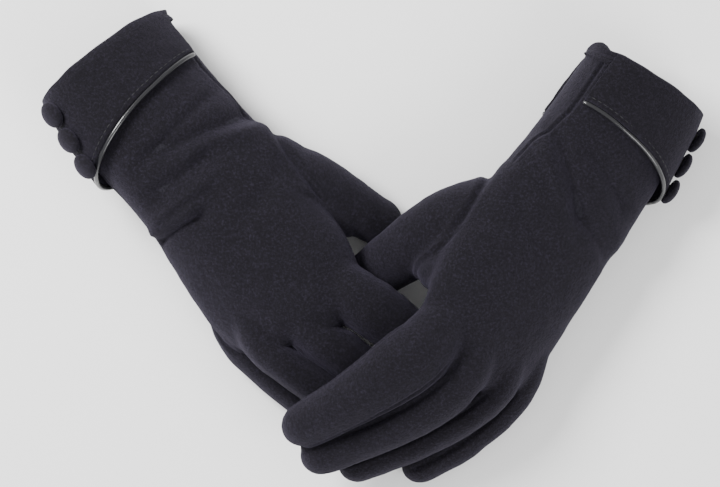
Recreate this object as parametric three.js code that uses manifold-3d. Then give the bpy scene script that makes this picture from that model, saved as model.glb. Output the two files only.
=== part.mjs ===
// A pair of women's fleece-lined touchscreen gloves, lying crossed on a table with the backs of the
// hands up. The left glove's fingers lie over the right glove's, and its thumb tucks under the right
// index finger. Each glove keeps the rounded shape of a hand and is hollow from the cuff's mouth to
// every fingertip. Millimetres, +Z up, the table at Z = 0, the origin at the middle of the footprint.
import * as THREE from "three";
import { mergeVertices } from "three/addons/utils/BufferGeometryUtils.js";
import Module from "manifold-3d";

const wasm = await Module();
wasm.setup();

// ---- driving dimensions ----------------------------------------------------------------------
const SHELL = 1.3; // brushed knit outside
const LINING = 1.3; // fleece inside
const GAP = 0.35; // kept between two pieces that touch
const LAYER = SHELL + GAP; // from the shell's face to the lining's face
const SQUARENESS = 2.3; // exponent of a hand's rounded cross-section
const MOUTH_TILT = 4.5; // how far the cuff's mouth leans out over the back of the hand
const MOUTH_FADE = 30; // and how soon that lean dies away along the hand
const KNUCKLE_LEAN = 5; // how far the knuckles reach on the thumb side, and fall back on the other
const KNUCKLE_FADE = 25;
const FACET_TOLERANCE = 0.1; // of the walls' facets
const TOUCH = 1e-3; // the shared volume that still counts as touching
const WEB_LENGTH = 7; // from the knuckle to where the fingers part
const OPENING = 4; // how far a hollow's cutter runs past the end it opens

const BAND = { start: 38, thickness: 2.0, flare: 2.6, length: 34, lean: 6, bow: 10 };
const HAND_FLOOR = 3.4; // the hand's skin lies on the band, and the band on the table
const PIPING_RADIUS = 1.2;
const BUTTON = { radius: 6.4, height: 4, shankRadius: 3, shankHeight: 0.6, angle: 168 };
const BUTTON_STATIONS = [7.5, 20.5, 33.5];
const FOURCHETTE = { halfAngle: 34, seamAngle: 3, rootMargin: 1.2, tipMargin: 9 };
const PAD = { thickness: 0.7, halfAngle: 48, length: 17, tipMargin: 6 };
const KNUCKLE_END = { length: 8, rim: 2.5, rimShare: 0.95, endShare: 0.8 }; // rounds a hand off
const THUMB_ROOM = 12; // left ahead of the hand's cutter inside a thumb
const HINGE_HEIGHT = 0.35; // of a digit's half-thickness, above its middle

const PALM = 270; // degrees round a limb: 0 is its thumb side, 90 its back
const FAR = 200; // mm, the size of a cutter that reaches past the whole glove
const REACH = 60; // mm, past a hand's skin on any side

const FOOTPRINT_MIDDLE = [1.7, 0.5]; // of the poses below, which is set on the origin

// ---- poses: the middle line of each limb, as [x, y, z, half-width, half-thickness, roll, cup] --
// Roll turns the back of the hand towards the little finger, in degrees. Cup drops both edges.
const HANDS = {
  right: [
    [-126.5, 90, 24, 36.5, 21.5, -20, 0],
    [-114.5, 73.5, 24, 37, 21.5, -20, 0],
    [-101.5, 58, 24.5, 36.5, 21, -15, 0],
    [-87, 42, 26, 36, 19, -8, 0],
    [-71, 23, 27, 37, 16.5, 0, 2],
    [-56, 0, 28.5, 38.5, 14, 5, 4],
    [-43, -19, 29.5, 38.5, 12, 8, 5],
    [-30.5, -40, 28.5, 32.5, 10.5, 10, 5],
  ],
  left: [
    [129.5, 77.5, 24, 31.5, 21.5, 22, 0],
    [118.5, 60.5, 24, 32.5, 21.5, 22, 0],
    [107, 43.5, 25, 33.5, 21, 21, 0],
    [94, 25.5, 27, 35, 19, 20, 0],
    [80, 6, 31, 37, 16.5, 20, 2],
    [68, -15, 35, 38.5, 14, 26, 4],
    [58, -37, 37.5, 38, 11.5, 31, 6],
    [44.5, -63, 35.5, 32, 10, 33, 6],
  ],
};

// The second station of a finger's line is its knuckle. Its own tube starts a web's length further on,
// and lift is how far it turns up there. A thumb's seam, seen from above, runs from the wrist to the
// crotch of the thumb.
const DIGITS = {
  right: {
    thumb: {
      line: [
        [-66, 49, 26, 15, 14],
        [-41, 37, 23, 15, 12.5],
        [-21, 26.5, 17, 14, 10.5],
        [-1, 15, 10.5, 11.5, 8.6],
        [13, 10, 8.3, 9.6, 7.8],
      ],
      roll: 0,
      seam: [[-45, 54], [-10, 0]],
    },
    index: {
      line: [
        [-26, -9, 29, 11.5, 9],
        [-7, -23.5, 32, 13.5, 10.6],
        [8, -34, 30, 13, 10.4],
        [22, -44.5, 23, 11.5, 10],
        [32, -52, 15, 10.3, 9.6],
        [41, -58, 10.5, 9.5, 9],
      ],
      roll: 4,
      lift: 5,
    },
    middle: {
      line: [
        [-44, -22, 28.5, 10.4, 9],
        [-30, -38.5, 30, 10.4, 10.2],
        [-15, -49.5, 28.5, 10.3, 10],
        [-3, -58.5, 21.5, 10.2, 9.8],
        [7, -66.5, 14.5, 10, 9.5],
        [14.5, -71.5, 10.4, 9.3, 9],
      ],
      roll: 8,
      lift: 5,
    },
    ring: {
      line: [
        [-63, -26, 25, 9.4, 9],
        [-53, -45.5, 27.5, 9, 9.2],
        [-40, -56.5, 27.5, 9, 9],
        [-27, -66, 26, 9, 9],
        [-17, -73.5, 22, 8.8, 8.8],
        [-10, -78.5, 17.5, 8.6, 8.4],
      ],
      roll: 10,
      lift: 4,
    },
    little: {
      line: [
        [-72, -22, 19, 8.6, 8.6],
        [-67, -40, 12.5, 8.8, 8.8],
        [-56.5, -53, 9, 8.6, 8.4],
        [-45, -63.5, 8.4, 8.4, 8.2],
        [-36, -70.5, 8.2, 8.2, 8],
        [-28.5, -75.5, 8.2, 8, 7.8],
      ],
      roll: 60,
      lift: 3,
      room: 0.9,
    },
  },
  left: {
    thumb: {
      line: [
        [70, 22, 31, 15, 14],
        [46, 16, 33, 16.5, 13],
        [27, 6, 30, 15.5, 11.5],
        [13, -3.5, 23, 14, 9.6],
        [-0.5, -13, 12, 12, 8.6],
        [-11, -20, 8.4, 10, 7.8],
      ],
      roll: 6,
      seam: [[56, 36], [24, -17]],
    },
    index: {
      line: [
        [42, -24, 45, 11.5, 9],
        [28, -43, 51.5, 14.5, 11.5],
        [15, -54.5, 53, 15.5, 11],
        [0, -65, 51.5, 14, 10.5],
        [-16, -75, 47, 12, 10],
        [-30, -82.5, 41.5, 10.8, 9.4],
        [-40, -88, 36.5, 9.6, 8.8],
      ],
      roll: 12,
      lift: 25,
    },
    middle: {
      line: [
        [54, -41, 39.5, 10.4, 9],
        [43.5, -60.5, 43, 10.6, 9.8],
        [28, -74, 41, 10.6, 9.8],
        [10, -84, 38, 10.2, 9.6],
        [-10, -92.5, 33.5, 9.8, 9.2],
        [-32, -101, 29, 9, 8.8],
      ],
      roll: 28,
      lift: 25,
    },
    ring: {
      line: [
        [67, -47, 29.5, 9.4, 9],
        [59, -66, 28, 9.6, 9.6],
        [47, -77.5, 27, 9.2, 9.4],
        [30, -87.5, 24, 9.2, 9.2],
        [12, -96, 21, 9, 9],
        [-14.5, -106, 15, 8.6, 8.6],
      ],
      roll: 44,
      lift: 25,
    },
    little: {
      line: [
        [77, -45, 20, 8.8, 9],
        [72, -63, 13, 9, 9.2],
        [61, -78, 10, 8.8, 9],
        [46, -91, 9, 8.8, 8.8],
        [32, -100, 8.6, 8.6, 8.5],
        [16.5, -107.5, 8.4, 8.4, 8.2],
      ],
      roll: 55,
      lift: 25,
    },
  },
};

const LOOKS = {
  knit: new THREE.MeshStandardMaterial({ color: 0x24232b, roughness: 0.95, metalness: 0 }),
  fourchette: new THREE.MeshStandardMaterial({ color: 0x1f1e26, roughness: 0.95, metalness: 0 }),
  fleece: new THREE.MeshStandardMaterial({ color: 0x16161b, roughness: 1, metalness: 0 }),
  piping: new THREE.MeshStandardMaterial({ color: 0x1a1a20, roughness: 0.35, metalness: 0 }),
  shank: new THREE.MeshStandardMaterial({ color: 0x101014, roughness: 0.5, metalness: 0 }),
  pad: new THREE.MeshStandardMaterial({ color: 0x3a3a42, roughness: 0.8, metalness: 0.1 }),
};

// ---- solids ----------------------------------------------------------------------------------
const radians = THREE.MathUtils.degToRad;

function toSolid(geometry) {
  geometry.deleteAttribute("normal");
  geometry.deleteAttribute("uv");
  const merged = mergeVertices(geometry, 1e-3);
  if (signedVolume(merged) < 0) merged.index.array.reverse();
  return new wasm.Manifold(
    new wasm.Mesh({
      numProp: 3,
      vertProperties: merged.attributes.position.array,
      triVerts: new Uint32Array(merged.index.array),
    }),
  );
}

// A cut can leave a sliver beside the piece itself.
function largest(solid) {
  return solid.decompose().reduce((most, part) => (part.volume() > most.volume() ? part : most));
}

// The solid less whatever it would share with the pieces already made.
function clearOf(solid, others) {
  return others.reduce(
    (left, other) => (left.intersect(other).volume() > TOUCH ? left.subtract(other) : left), solid);
}

function toMesh(name, solid, material) {
  const made = solid.getMesh();
  const position = new Float32Array(made.numVert * 3);
  for (let i = 0; i < made.numVert; i++) {
    position.set(made.vertProperties.subarray(i * made.numProp, i * made.numProp + 3), i * 3);
  }
  const geometry = new THREE.BufferGeometry();
  geometry.setAttribute("position", new THREE.BufferAttribute(position, 3));
  geometry.setIndex(new THREE.BufferAttribute(made.triVerts, 1));
  geometry.computeVertexNormals();
  const mesh = new THREE.Mesh(geometry, material);
  mesh.name = name;
  return mesh;
}

// The volume inside an indexed closed surface, below zero when its faces point inwards.
function signedVolume(geometry) {
  const corner = [0, 1, 2].map(() => new THREE.Vector3());
  const { index, attributes } = geometry;
  let sum = 0;
  for (let i = 0; i < index.count; i += 3) {
    corner.forEach((c, k) => c.fromBufferAttribute(attributes.position, index.getX(i + k)));
    sum += corner[0].dot(corner[1].clone().cross(corner[2])) / 6;
  }
  return sum;
}

// Moves every vertex of a closed geometry to where place() puts it.
function warp(geometry, place) {
  const position = geometry.attributes.position;
  const p = new THREE.Vector3();
  for (let i = 0; i < position.count; i++) {
    p.fromBufferAttribute(position, i);
    position.setXYZ(i, ...place(p.x, p.y, p.z).toArray());
  }
  return toSolid(geometry);
}

// ---- limbs -----------------------------------------------------------------------------------
// A limb is a middle line with a rounded cross-section square to it. thumbward is 1 on the right
// glove and -1 on the left, so both gloves share every angle.
class Limb {
  constructor(stations, thumbward, { roll = 0, squareness = 2, floor = 0 } = {}) {
    this.thumbward = thumbward;
    this.floor = floor;
    this.squareness = squareness;
    this.line = new THREE.CatmullRomCurve3(
      stations.map(([x, y, z]) => new THREE.Vector3(x, y, z)), false, "catmullrom");
    this.size = new THREE.CatmullRomCurve3(
      stations.map(([, , , w, h]) => new THREE.Vector3(w, h, 0)), false, "catmullrom");
    this.turn = new THREE.CatmullRomCurve3(
      stations.map(([, , , , , r = roll, cup = 0]) => new THREE.Vector3(r, cup, 0)),
      false, "catmullrom");
    this.length = this.line.getLength();
    this.root = this.line.points[0].distanceTo(this.line.points[1]) + WEB_LENGTH;
  }

  // Where the limb is, and which way it faces, s millimetres along its middle line.
  frame(s) {
    const t = this.line.getUtoTmapping(THREE.MathUtils.clamp(s / this.length, 0, 1));
    const along = this.line.getTangent(t);
    const past = s - THREE.MathUtils.clamp(s, 0, this.length);
    const centre = this.line.getPoint(t).addScaledVector(along, past);
    const flat = new THREE.Vector3(-along.y, along.x, 0).normalize()
      .multiplyScalar(this.thumbward);
    const up = new THREE.Vector3().crossVectors(along, flat)
      .multiplyScalar(this.thumbward);
    const { x: width, y: thickness } = this.size.getPoint(t);
    const { x: roll, y: cup } = this.turn.getPoint(t);
    const c = Math.cos(radians(roll));
    const k = Math.sin(radians(roll));
    const side = flat.clone().multiplyScalar(c).addScaledVector(up, k);
    const back = up.clone().multiplyScalar(c).addScaledVector(flat, -k);
    return { centre, along, side, back, width, thickness, cup };
  }

  // The point at s along, x to the thumb side and z to the back, in millimetres.
  place(s, x, z) {
    const f = this.frame(s);
    const drop = f.cup * Math.min(1, (x / f.width) ** 2);
    return f.centre.clone().addScaledVector(f.side, x).addScaledVector(f.back, z - drop);
  }

  // The skin's point at s along and angle degrees round, moved out by offset and in by share. It
  // lies flat where it would sink below the floor.
  skin(s, angle, offset = 0, share = 1, floor = this.floor - offset) {
    const f = this.frame(s);
    const c = Math.cos(radians(angle));
    const k = Math.sin(radians(angle));
    const power = 2 / this.squareness;
    const x = Math.sign(c) * Math.abs(c) ** power * (f.width + offset) * share;
    const z = Math.sign(k) * Math.abs(k) ** power * (f.thickness + offset) * share;
    const point = this.place(s, x, z);
    point.z = Math.max(point.z, floor);
    return point;
  }
}

// A closed tube along a limb through the rings [s, share of the full section]. shift(angle, s)
// slides a ring's points along the limb.
function tube(limb, rings, sides, offset, shift = () => 0) {
  const last = rings.length - 1;
  const geometry = new THREE.CylinderGeometry(1, 1, 1, sides, last);
  return warp(geometry, (x, y, z) => {
    const [s, share] = rings[Math.round((0.5 - y) * last)];
    const angle = THREE.MathUtils.radToDeg(Math.atan2(x, z)) * limb.thumbward;
    const reach = Math.hypot(x, z) * share;
    return limb.skin(s + reach * shift(angle, s), angle, offset, reach);
  });
}

// A closed patch of a limb's skin between two angles and two ends, from offset low to high. Ends
// and offsets are functions of how far across (u) and along (v) the patch a point is.
function patch(limb, angles, ends, offsets, across, along, floors = []) {
  const geometry = new THREE.BoxGeometry(1, 1, 1, across, along, 1);
  return warp(geometry, (x, y, z) => {
    const u = limb.thumbward > 0 ? x + 0.5 : 0.5 - x;
    const v = 0.5 - y;
    const angle = THREE.MathUtils.lerp(angles[0], angles[1], u);
    const s = THREE.MathUtils.lerp(ends[0](angle), ends[1](angle), v);
    const face = z > 0 ? 1 : 0;
    return limb.skin(s, angle, offsets[face](angle, v), 1, floors[face]);
  });
}

// Evenly spaced full rings. Every layer of a limb shares them, so that their facets stay parallel.
function evenRings(from, to, steps) {
  return Array.from({ length: steps + 1 }, (_, i) => [THREE.MathUtils.lerp(from, to, i / steps), 1]);
}

// ---- digits ----------------------------------------------------------------------------------
const FINGER_SIDES = 10;
const FINGER_STEPS = 4;
const TIP_TURNS = [38, 70]; // degrees round the fingertip

// A finger's root is cut back above its hinge, so that it can turn up by its whole range.
function rootShift(digit, limb) {
  if (!digit.lift) return () => 0;
  const { thickness } = limb.frame(limb.root);
  const slope = Math.tan(radians(digit.lift));
  return (angle, s) => {
    if (s > limb.root + 1) return 0;
    const height = Math.sin(radians(angle)) * thickness;
    return Math.max(0, height - HINGE_HEIGHT * thickness) * slope;
  };
}

// A digit's rounded tube from the ring at start, and as far back as overrun behind it.
function digitTube(limb, start, overrun, offset, shift) {
  const tipRadius = limb.frame(limb.length).width;
  const shoulder = limb.length - tipRadius;
  const rings = evenRings(start, shoulder, FINGER_STEPS);
  if (overrun) rings.unshift([start - overrun, 1]);
  for (const turn of TIP_TURNS.map(radians)) {
    rings.push([shoulder + (tipRadius + offset) * Math.sin(turn), Math.cos(turn)]);
  }
  return tube(limb, rings, FINGER_SIDES, offset, shift);
}

// The seam that parts a thumb from its hand is an upright plane: this is the block on its thumb side.
function thumbSide(digit, clearance) {
  const [[x0, y0], [x1, y1]] = digit.seam;
  const length = Math.hypot(x1 - x0, y1 - y0);
  const block = new THREE.BoxGeometry(FAR, FAR, FAR);
  const along = new THREE.Vector3(x1 - x0, y1 - y0, 0).divideScalar(length);
  const out = new THREE.Vector3(-along.y, along.x, 0);
  const tip = digit.line.at(-1);
  if (out.dot(new THREE.Vector3(tip[0] - x0, tip[1] - y0, 0)) < 0) out.negate();
  const centre = new THREE.Vector3(x0, y0, 0).addScaledVector(out, FAR / 2 + clearance);
  block.rotateZ(Math.atan2(out.y, out.x));
  block.translate(centre.x, centre.y, 0);
  return toSolid(block);
}

function buildDigit(name, digit, thumbward) {
  const isThumb = name === "thumb";
  const padded = isThumb || name === "index";
  const limb = new Limb(digit.line, thumbward, {
    roll: digit.roll, floor: padded ? GAP + PAD.thickness : 0,
  });
  const from = isThumb ? 0 : limb.root + GAP;
  const shift = rootShift(digit, limb);
  const layer = (outside, inside) => {
    const outer = digitTube(limb, from, 0, outside, shift);
    const open = outer.subtract(digitTube(limb, from, OPENING, inside));
    const cut = isThumb ? open.intersect(thumbSide(digit, GAP)) : open;
    return cut.simplify(FACET_TOLERANCE);
  };
  const pieces = { shell: layer(0, -SHELL), lining: layer(-LAYER, -LAYER - LINING) };
  return { limb, digit, pieces, isThumb, padded };
}

// Strips of the finger's own side walls, let in between its back and its palm side.
function addFourchettes(made, angles) {
  const { limb, digit, pieces } = made;
  const shift = rootShift(digit, limb);
  const start = (angle) => limb.root + FOURCHETTE.rootMargin + shift(angle, limb.root);
  const end = () => limb.length - FOURCHETTE.tipMargin;
  const strips = {};
  for (const [label, angle] of Object.entries(angles)) {
    const strip = (half, s0, s1, low, high) => patch(
      limb, [angle - half, angle + half], [s0, s1], [() => low, () => high], 4, 5);
    const slotHalf = FOURCHETTE.halfAngle + FOURCHETTE.seamAngle;
    const slotStart = () => limb.root - 2 * OPENING;
    const slot = strip(slotHalf, slotStart, () => end() + GAP, -SHELL - 1, 1);
    pieces.shell = pieces.shell.subtract(slot);
    strips[label] = strip(FOURCHETTE.halfAngle, start, end, -SHELL, 0);
  }
  return strips;
}

// A patch of conductive knit on the palm side of the fingertip.
function touchPad(made) {
  const { limb } = made;
  const end = limb.length - PAD.tipMargin;
  return patch(
    limb,
    [PALM - PAD.halfAngle, PALM + PAD.halfAngle],
    [() => end - PAD.length, () => end],
    [() => GAP, () => GAP + PAD.thickness],
    4, 4,
  );
}

// ---- hand ------------------------------------------------------------------------------------
const HAND_SIDES = 16;
const HAND_STEPS = 7;

function mouthShift(angle, s) {
  return -MOUTH_TILT * Math.sin(radians(angle)) * Math.max(0, 1 - s / MOUTH_FADE);
}

function handTube(limb, overrun, offset) {
  const end = limb.length + offset;
  const rings = evenRings(0, limb.length - KNUCKLE_END.length, HAND_STEPS);
  if (overrun) rings.unshift([-overrun, 1]);
  rings.push([end - KNUCKLE_END.rim, KNUCKLE_END.rimShare], [end, KNUCKLE_END.endShare]);
  const knuckles = (angle, s) =>
    KNUCKLE_LEAN * Math.cos(radians(angle)) * Math.max(0, 1 - (limb.length - s) / KNUCKLE_FADE);
  const shift = (angle, s) => mouthShift(angle, s) + knuckles(angle, s);
  return tube(limb, rings, HAND_SIDES, offset, shift);
}

// The hand's tube joined to the start of every digit, all moved out by offset and open at both ends
// by overrun.
function handWithRoots(limb, digits, offset, overrun) {
  let whole = handTube(limb, overrun, offset);
  for (const { limb: line, digit, isThumb } of digits) {
    const rings = evenRings(-offset, isThumb ? line.length - THUMB_ROOM : line.root, 2);
    if (overrun) rings.push([rings.at(-1)[0] + overrun, 1]);
    const root = tube(line, rings, FINGER_SIDES, offset);
    whole = whole.add(isThumb ? root.subtract(thumbSide(digit, overrun)) : root);
  }
  return whole;
}

// The block that starts at a height above the surface through both side seams, and goes on upwards.
function upperHalf(limb, height) {
  const geometry = new THREE.BoxGeometry(2, 2, 1, 2, 10, 1);
  return warp(geometry, (x, y, z) => {
    const s = THREE.MathUtils.lerp(-3 * OPENING, limb.length + KNUCKLE_FADE, (1 - y) / 2);
    return limb.place(s, x * REACH * limb.thumbward, z > 0 ? REACH : height);
  });
}

// The room a digit fills at rest, with what more it needs to turn beside its neighbour's root.
function digitRoom({ limb, digit, isThumb }) {
  if (isThumb) return digitTube(limb, 0, 0, GAP).intersect(thumbSide(digit, 0));
  return digitTube(limb, limb.root, 0, GAP + (digit.room ?? 0));
}

function buildHand(side, thumbward) {
  const limb = new Limb(HANDS[side], thumbward, { squareness: SQUARENESS, floor: HAND_FLOOR });
  const digits = Object.entries(DIGITS[side]).map(([name, digit]) => ({
    name, ...buildDigit(name, digit, thumbward),
  }));
  const hollow = handWithRoots(limb, digits, -SHELL, OPENING);
  const cutRooms = (wall) => digits
    .reduce((left, made) => left.subtract(digitRoom(made)), wall)
    .simplify(FACET_TOLERANCE);
  const shell = cutRooms(handWithRoots(limb, digits, 0, 0).subtract(hollow));
  const lining = cutRooms(handWithRoots(limb, digits, -LAYER, 0)
    .subtract(handWithRoots(limb, digits, -LAYER - LINING, OPENING))
    .intersect(hollow));
  return {
    limb, digits,
    pieces: {
      back_panel: shell.intersect(upperHalf(limb, GAP)),
      palm_panel: shell.subtract(upperHalf(limb, 0)),
      hand_lining: lining,
    },
  };
}

// ---- cuff ------------------------------------------------------------------------------------
const BAND_FACETS = { across: 20, along: 3 };
const PIPING_FACETS = 22;
const BUTTON_SIDES = 12;
const SHANK_SIDES = 8;
// A button's half outline, as shares of its radius and its height.
const BUTTON_OUTLINE = [[0, 0], [0.8, 0], [1, 0.26], [0.93, 0.58], [0.66, 0.86], [0, 1]];

const bandTop = (angle) => mouthShift(angle, 0);
const bandEdge = (angle) =>
  BAND.length - BAND.lean * Math.cos(radians(angle)) - BAND.bow * Math.sin(radians(angle));
const bandLow = (angle, v) =>
  GAP + BAND.flare * v * v * (0.35 + 0.65 * Math.max(0, -Math.cos(radians(angle))));
const bandHigh = (angle, v) => bandLow(angle, v) + BAND.thickness;

function cuffBand(limb) {
  return patch(
    limb, [BAND.start, 360 - BAND.start], [bandTop, bandEdge], [bandLow, bandHigh],
    BAND_FACETS.across, BAND_FACETS.along,
    [BAND.thickness, 0],
  );
}

function cuffPiping(limb) {
  const points = [];
  for (let i = 0; i <= PIPING_FACETS; i++) {
    const angle = THREE.MathUtils.lerp(BAND.start, 360 - BAND.start, i / PIPING_FACETS);
    const offset = bandLow(angle, 1) + BAND.thickness / 2;
    const lowest = PIPING_RADIUS + GAP;
    points.push(limb.skin(bandEdge(angle) + PIPING_RADIUS + GAP, angle, offset, 1, lowest));
  }
  const section = new THREE.Shape().absarc(0, 0, PIPING_RADIUS, 0, 2 * Math.PI);
  return toSolid(new THREE.ExtrudeGeometry(section, {
    extrudePath: new THREE.CatmullRomCurve3(points),
    steps: PIPING_FACETS,
    curveSegments: 3,
    bevelEnabled: false,
  }));
}

// A solid turned about +Z, set down at a place on the cuff with +Z pointing out of it.
function setOn(limb, s, height, profile, sides) {
  const v = s / bandEdge(BUTTON.angle);
  const low = limb.skin(s, BUTTON.angle, bandHigh(BUTTON.angle, v));
  const outward = limb.skin(s, BUTTON.angle - 1, 0).sub(limb.skin(s, BUTTON.angle + 1, 0))
    .cross(limb.frame(s).along).multiplyScalar(-limb.thumbward).normalize();
  const geometry = new THREE.LatheGeometry(profile.map(([r, z]) => new THREE.Vector2(r, z)), sides);
  geometry.applyQuaternion(
    new THREE.Quaternion().setFromUnitVectors(new THREE.Vector3(0, 1, 0), outward));
  geometry.translate(...low.addScaledVector(outward, height).toArray());
  return toSolid(geometry);
}

function button(limb, s) {
  const outline = BUTTON_OUTLINE.map(([r, z]) => [r * BUTTON.radius, z * BUTTON.height]);
  return setOn(limb, s, BUTTON.shankHeight + 2 * GAP, outline, BUTTON_SIDES);
}

function buttonShank(limb, s) {
  const { shankRadius: r, shankHeight: h } = BUTTON;
  return setOn(limb, s, GAP, [[0, 0], [r, 0], [r, h], [0, h]], SHANK_SIDES);
}

// ---- the pair --------------------------------------------------------------------------------
const FOURCHETTE_SIDES = {
  index: { fourchette: 180 },
  middle: { fourchette_thumb_side: 0, fourchette_little_side: 180 },
  ring: { fourchette_thumb_side: 0, fourchette_little_side: 180 },
  little: { fourchette: 0 },
};

function buildGlove(side, thumbward) {
  const glove = new THREE.Group();
  const added = [];
  const add = (name, solid, look) => {
    const cut = largest(clearOf(solid, added));
    added.push(cut);
    glove.add(toMesh(`${side}_${name}`, cut, LOOKS[look]));
  };
  const { limb, digits, pieces } = buildHand(side, thumbward);
  add("back_panel", pieces.back_panel, "knit");
  add("palm_panel", pieces.palm_panel, "knit");
  add("hand_lining", pieces.hand_lining, "fleece");
  add("cuff_band", cuffBand(limb), "knit");
  add("cuff_piping", cuffPiping(limb), "piping");
  BUTTON_STATIONS.forEach((s, i) => {
    add(`button_${i + 1}`, button(limb, s), "knit");
    add(`button_shank_${i + 1}`, buttonShank(limb, s), "shank");
  });
  for (const made of digits) {
    const strips = FOURCHETTE_SIDES[made.name] ? addFourchettes(made, FOURCHETTE_SIDES[made.name]) : {};
    add(`${made.name}_shell`, made.pieces.shell, "knit");
    add(`${made.name}_lining`, made.pieces.lining, "fleece");
    for (const [label, strip] of Object.entries(strips)) {
      add(`${made.name}_${label}`, strip, "fourchette");
    }
    if (made.padded) add(`${made.name}_touch_pad`, touchPad(made), "pad");
  }
  return glove;
}

const gloves = new THREE.Group();
gloves.add(buildGlove("right", 1));
gloves.add(buildGlove("left", -1));
gloves.position.set(-FOOTPRINT_MIDDLE[0], -FOOTPRINT_MIDDLE[1], 0);

export default gloves;
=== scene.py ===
import math
from collections import namedtuple

import bpy
import numpy as np
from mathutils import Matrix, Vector, noise


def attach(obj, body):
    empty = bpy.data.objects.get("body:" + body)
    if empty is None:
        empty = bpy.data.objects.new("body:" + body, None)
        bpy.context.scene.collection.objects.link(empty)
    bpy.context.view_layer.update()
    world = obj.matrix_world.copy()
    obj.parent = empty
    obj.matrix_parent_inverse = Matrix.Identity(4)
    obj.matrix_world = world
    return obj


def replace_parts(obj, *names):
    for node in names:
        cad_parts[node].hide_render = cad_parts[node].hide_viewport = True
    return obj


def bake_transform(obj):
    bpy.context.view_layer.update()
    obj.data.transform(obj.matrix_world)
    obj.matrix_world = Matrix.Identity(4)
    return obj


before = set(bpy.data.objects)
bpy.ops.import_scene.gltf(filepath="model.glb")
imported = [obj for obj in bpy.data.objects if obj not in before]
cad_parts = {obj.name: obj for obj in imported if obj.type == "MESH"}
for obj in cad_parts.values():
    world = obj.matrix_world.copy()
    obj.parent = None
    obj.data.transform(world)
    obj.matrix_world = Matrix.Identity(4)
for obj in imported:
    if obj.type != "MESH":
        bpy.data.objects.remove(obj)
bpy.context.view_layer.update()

MM = 0.001

# ---- the pair's measurements, in millimetres --------------------------------------------------
FOOTPRINT_MIDDLE = np.array([1.7, 0.5, 0.0])
THUMBWARD = {"right": 1, "left": -1}
DIGIT_NAMES = ["thumb", "index", "middle", "ring", "little"]
HAND_FLOOR = 3.4
PADDED_FLOOR = 1.05
WEB_LENGTH = 7
MOUTH_TILT = 4.5
MOUTH_FADE = 30
KNUCKLE_LEAN = 5
KNUCKLE_FADE = 25
LINING_DEPTH = 2.9

# Stations of each hand's middle line: x, y, z, half width, half thickness, roll in degrees, and cup,
# which is how far the sides droop below the middle.
HANDS = {
    "right": [
        [-126.5, 90, 24, 36.5, 21.5, -20, 0],
        [-114.5, 73.5, 24, 37, 21.5, -20, 0],
        [-101.5, 58, 24.5, 36.5, 21, -15, 0],
        [-87, 42, 26, 36, 19, -8, 0],
        [-71, 23, 27, 37, 16.5, 0, 2],
        [-56, 0, 28.5, 38.5, 14, 5, 4],
        [-43, -19, 29.5, 38.5, 12, 8, 5],
        [-30.5, -40, 28.5, 32.5, 10.5, 10, 5],
    ],
    "left": [
        [129.5, 77.5, 24, 31.5, 21.5, 22, 0],
        [118.5, 60.5, 24, 32.5, 21.5, 22, 0],
        [107, 43.5, 25, 33.5, 21, 21, 0],
        [94, 25.5, 27, 35, 19, 20, 0],
        [80, 6, 31, 37, 16.5, 20, 2],
        [68, -15, 35, 38.5, 14, 26, 4],
        [58, -37, 37.5, 38, 11.5, 31, 6],
        [44.5, -63, 35.5, 32, 10, 33, 6],
    ],
}

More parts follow.
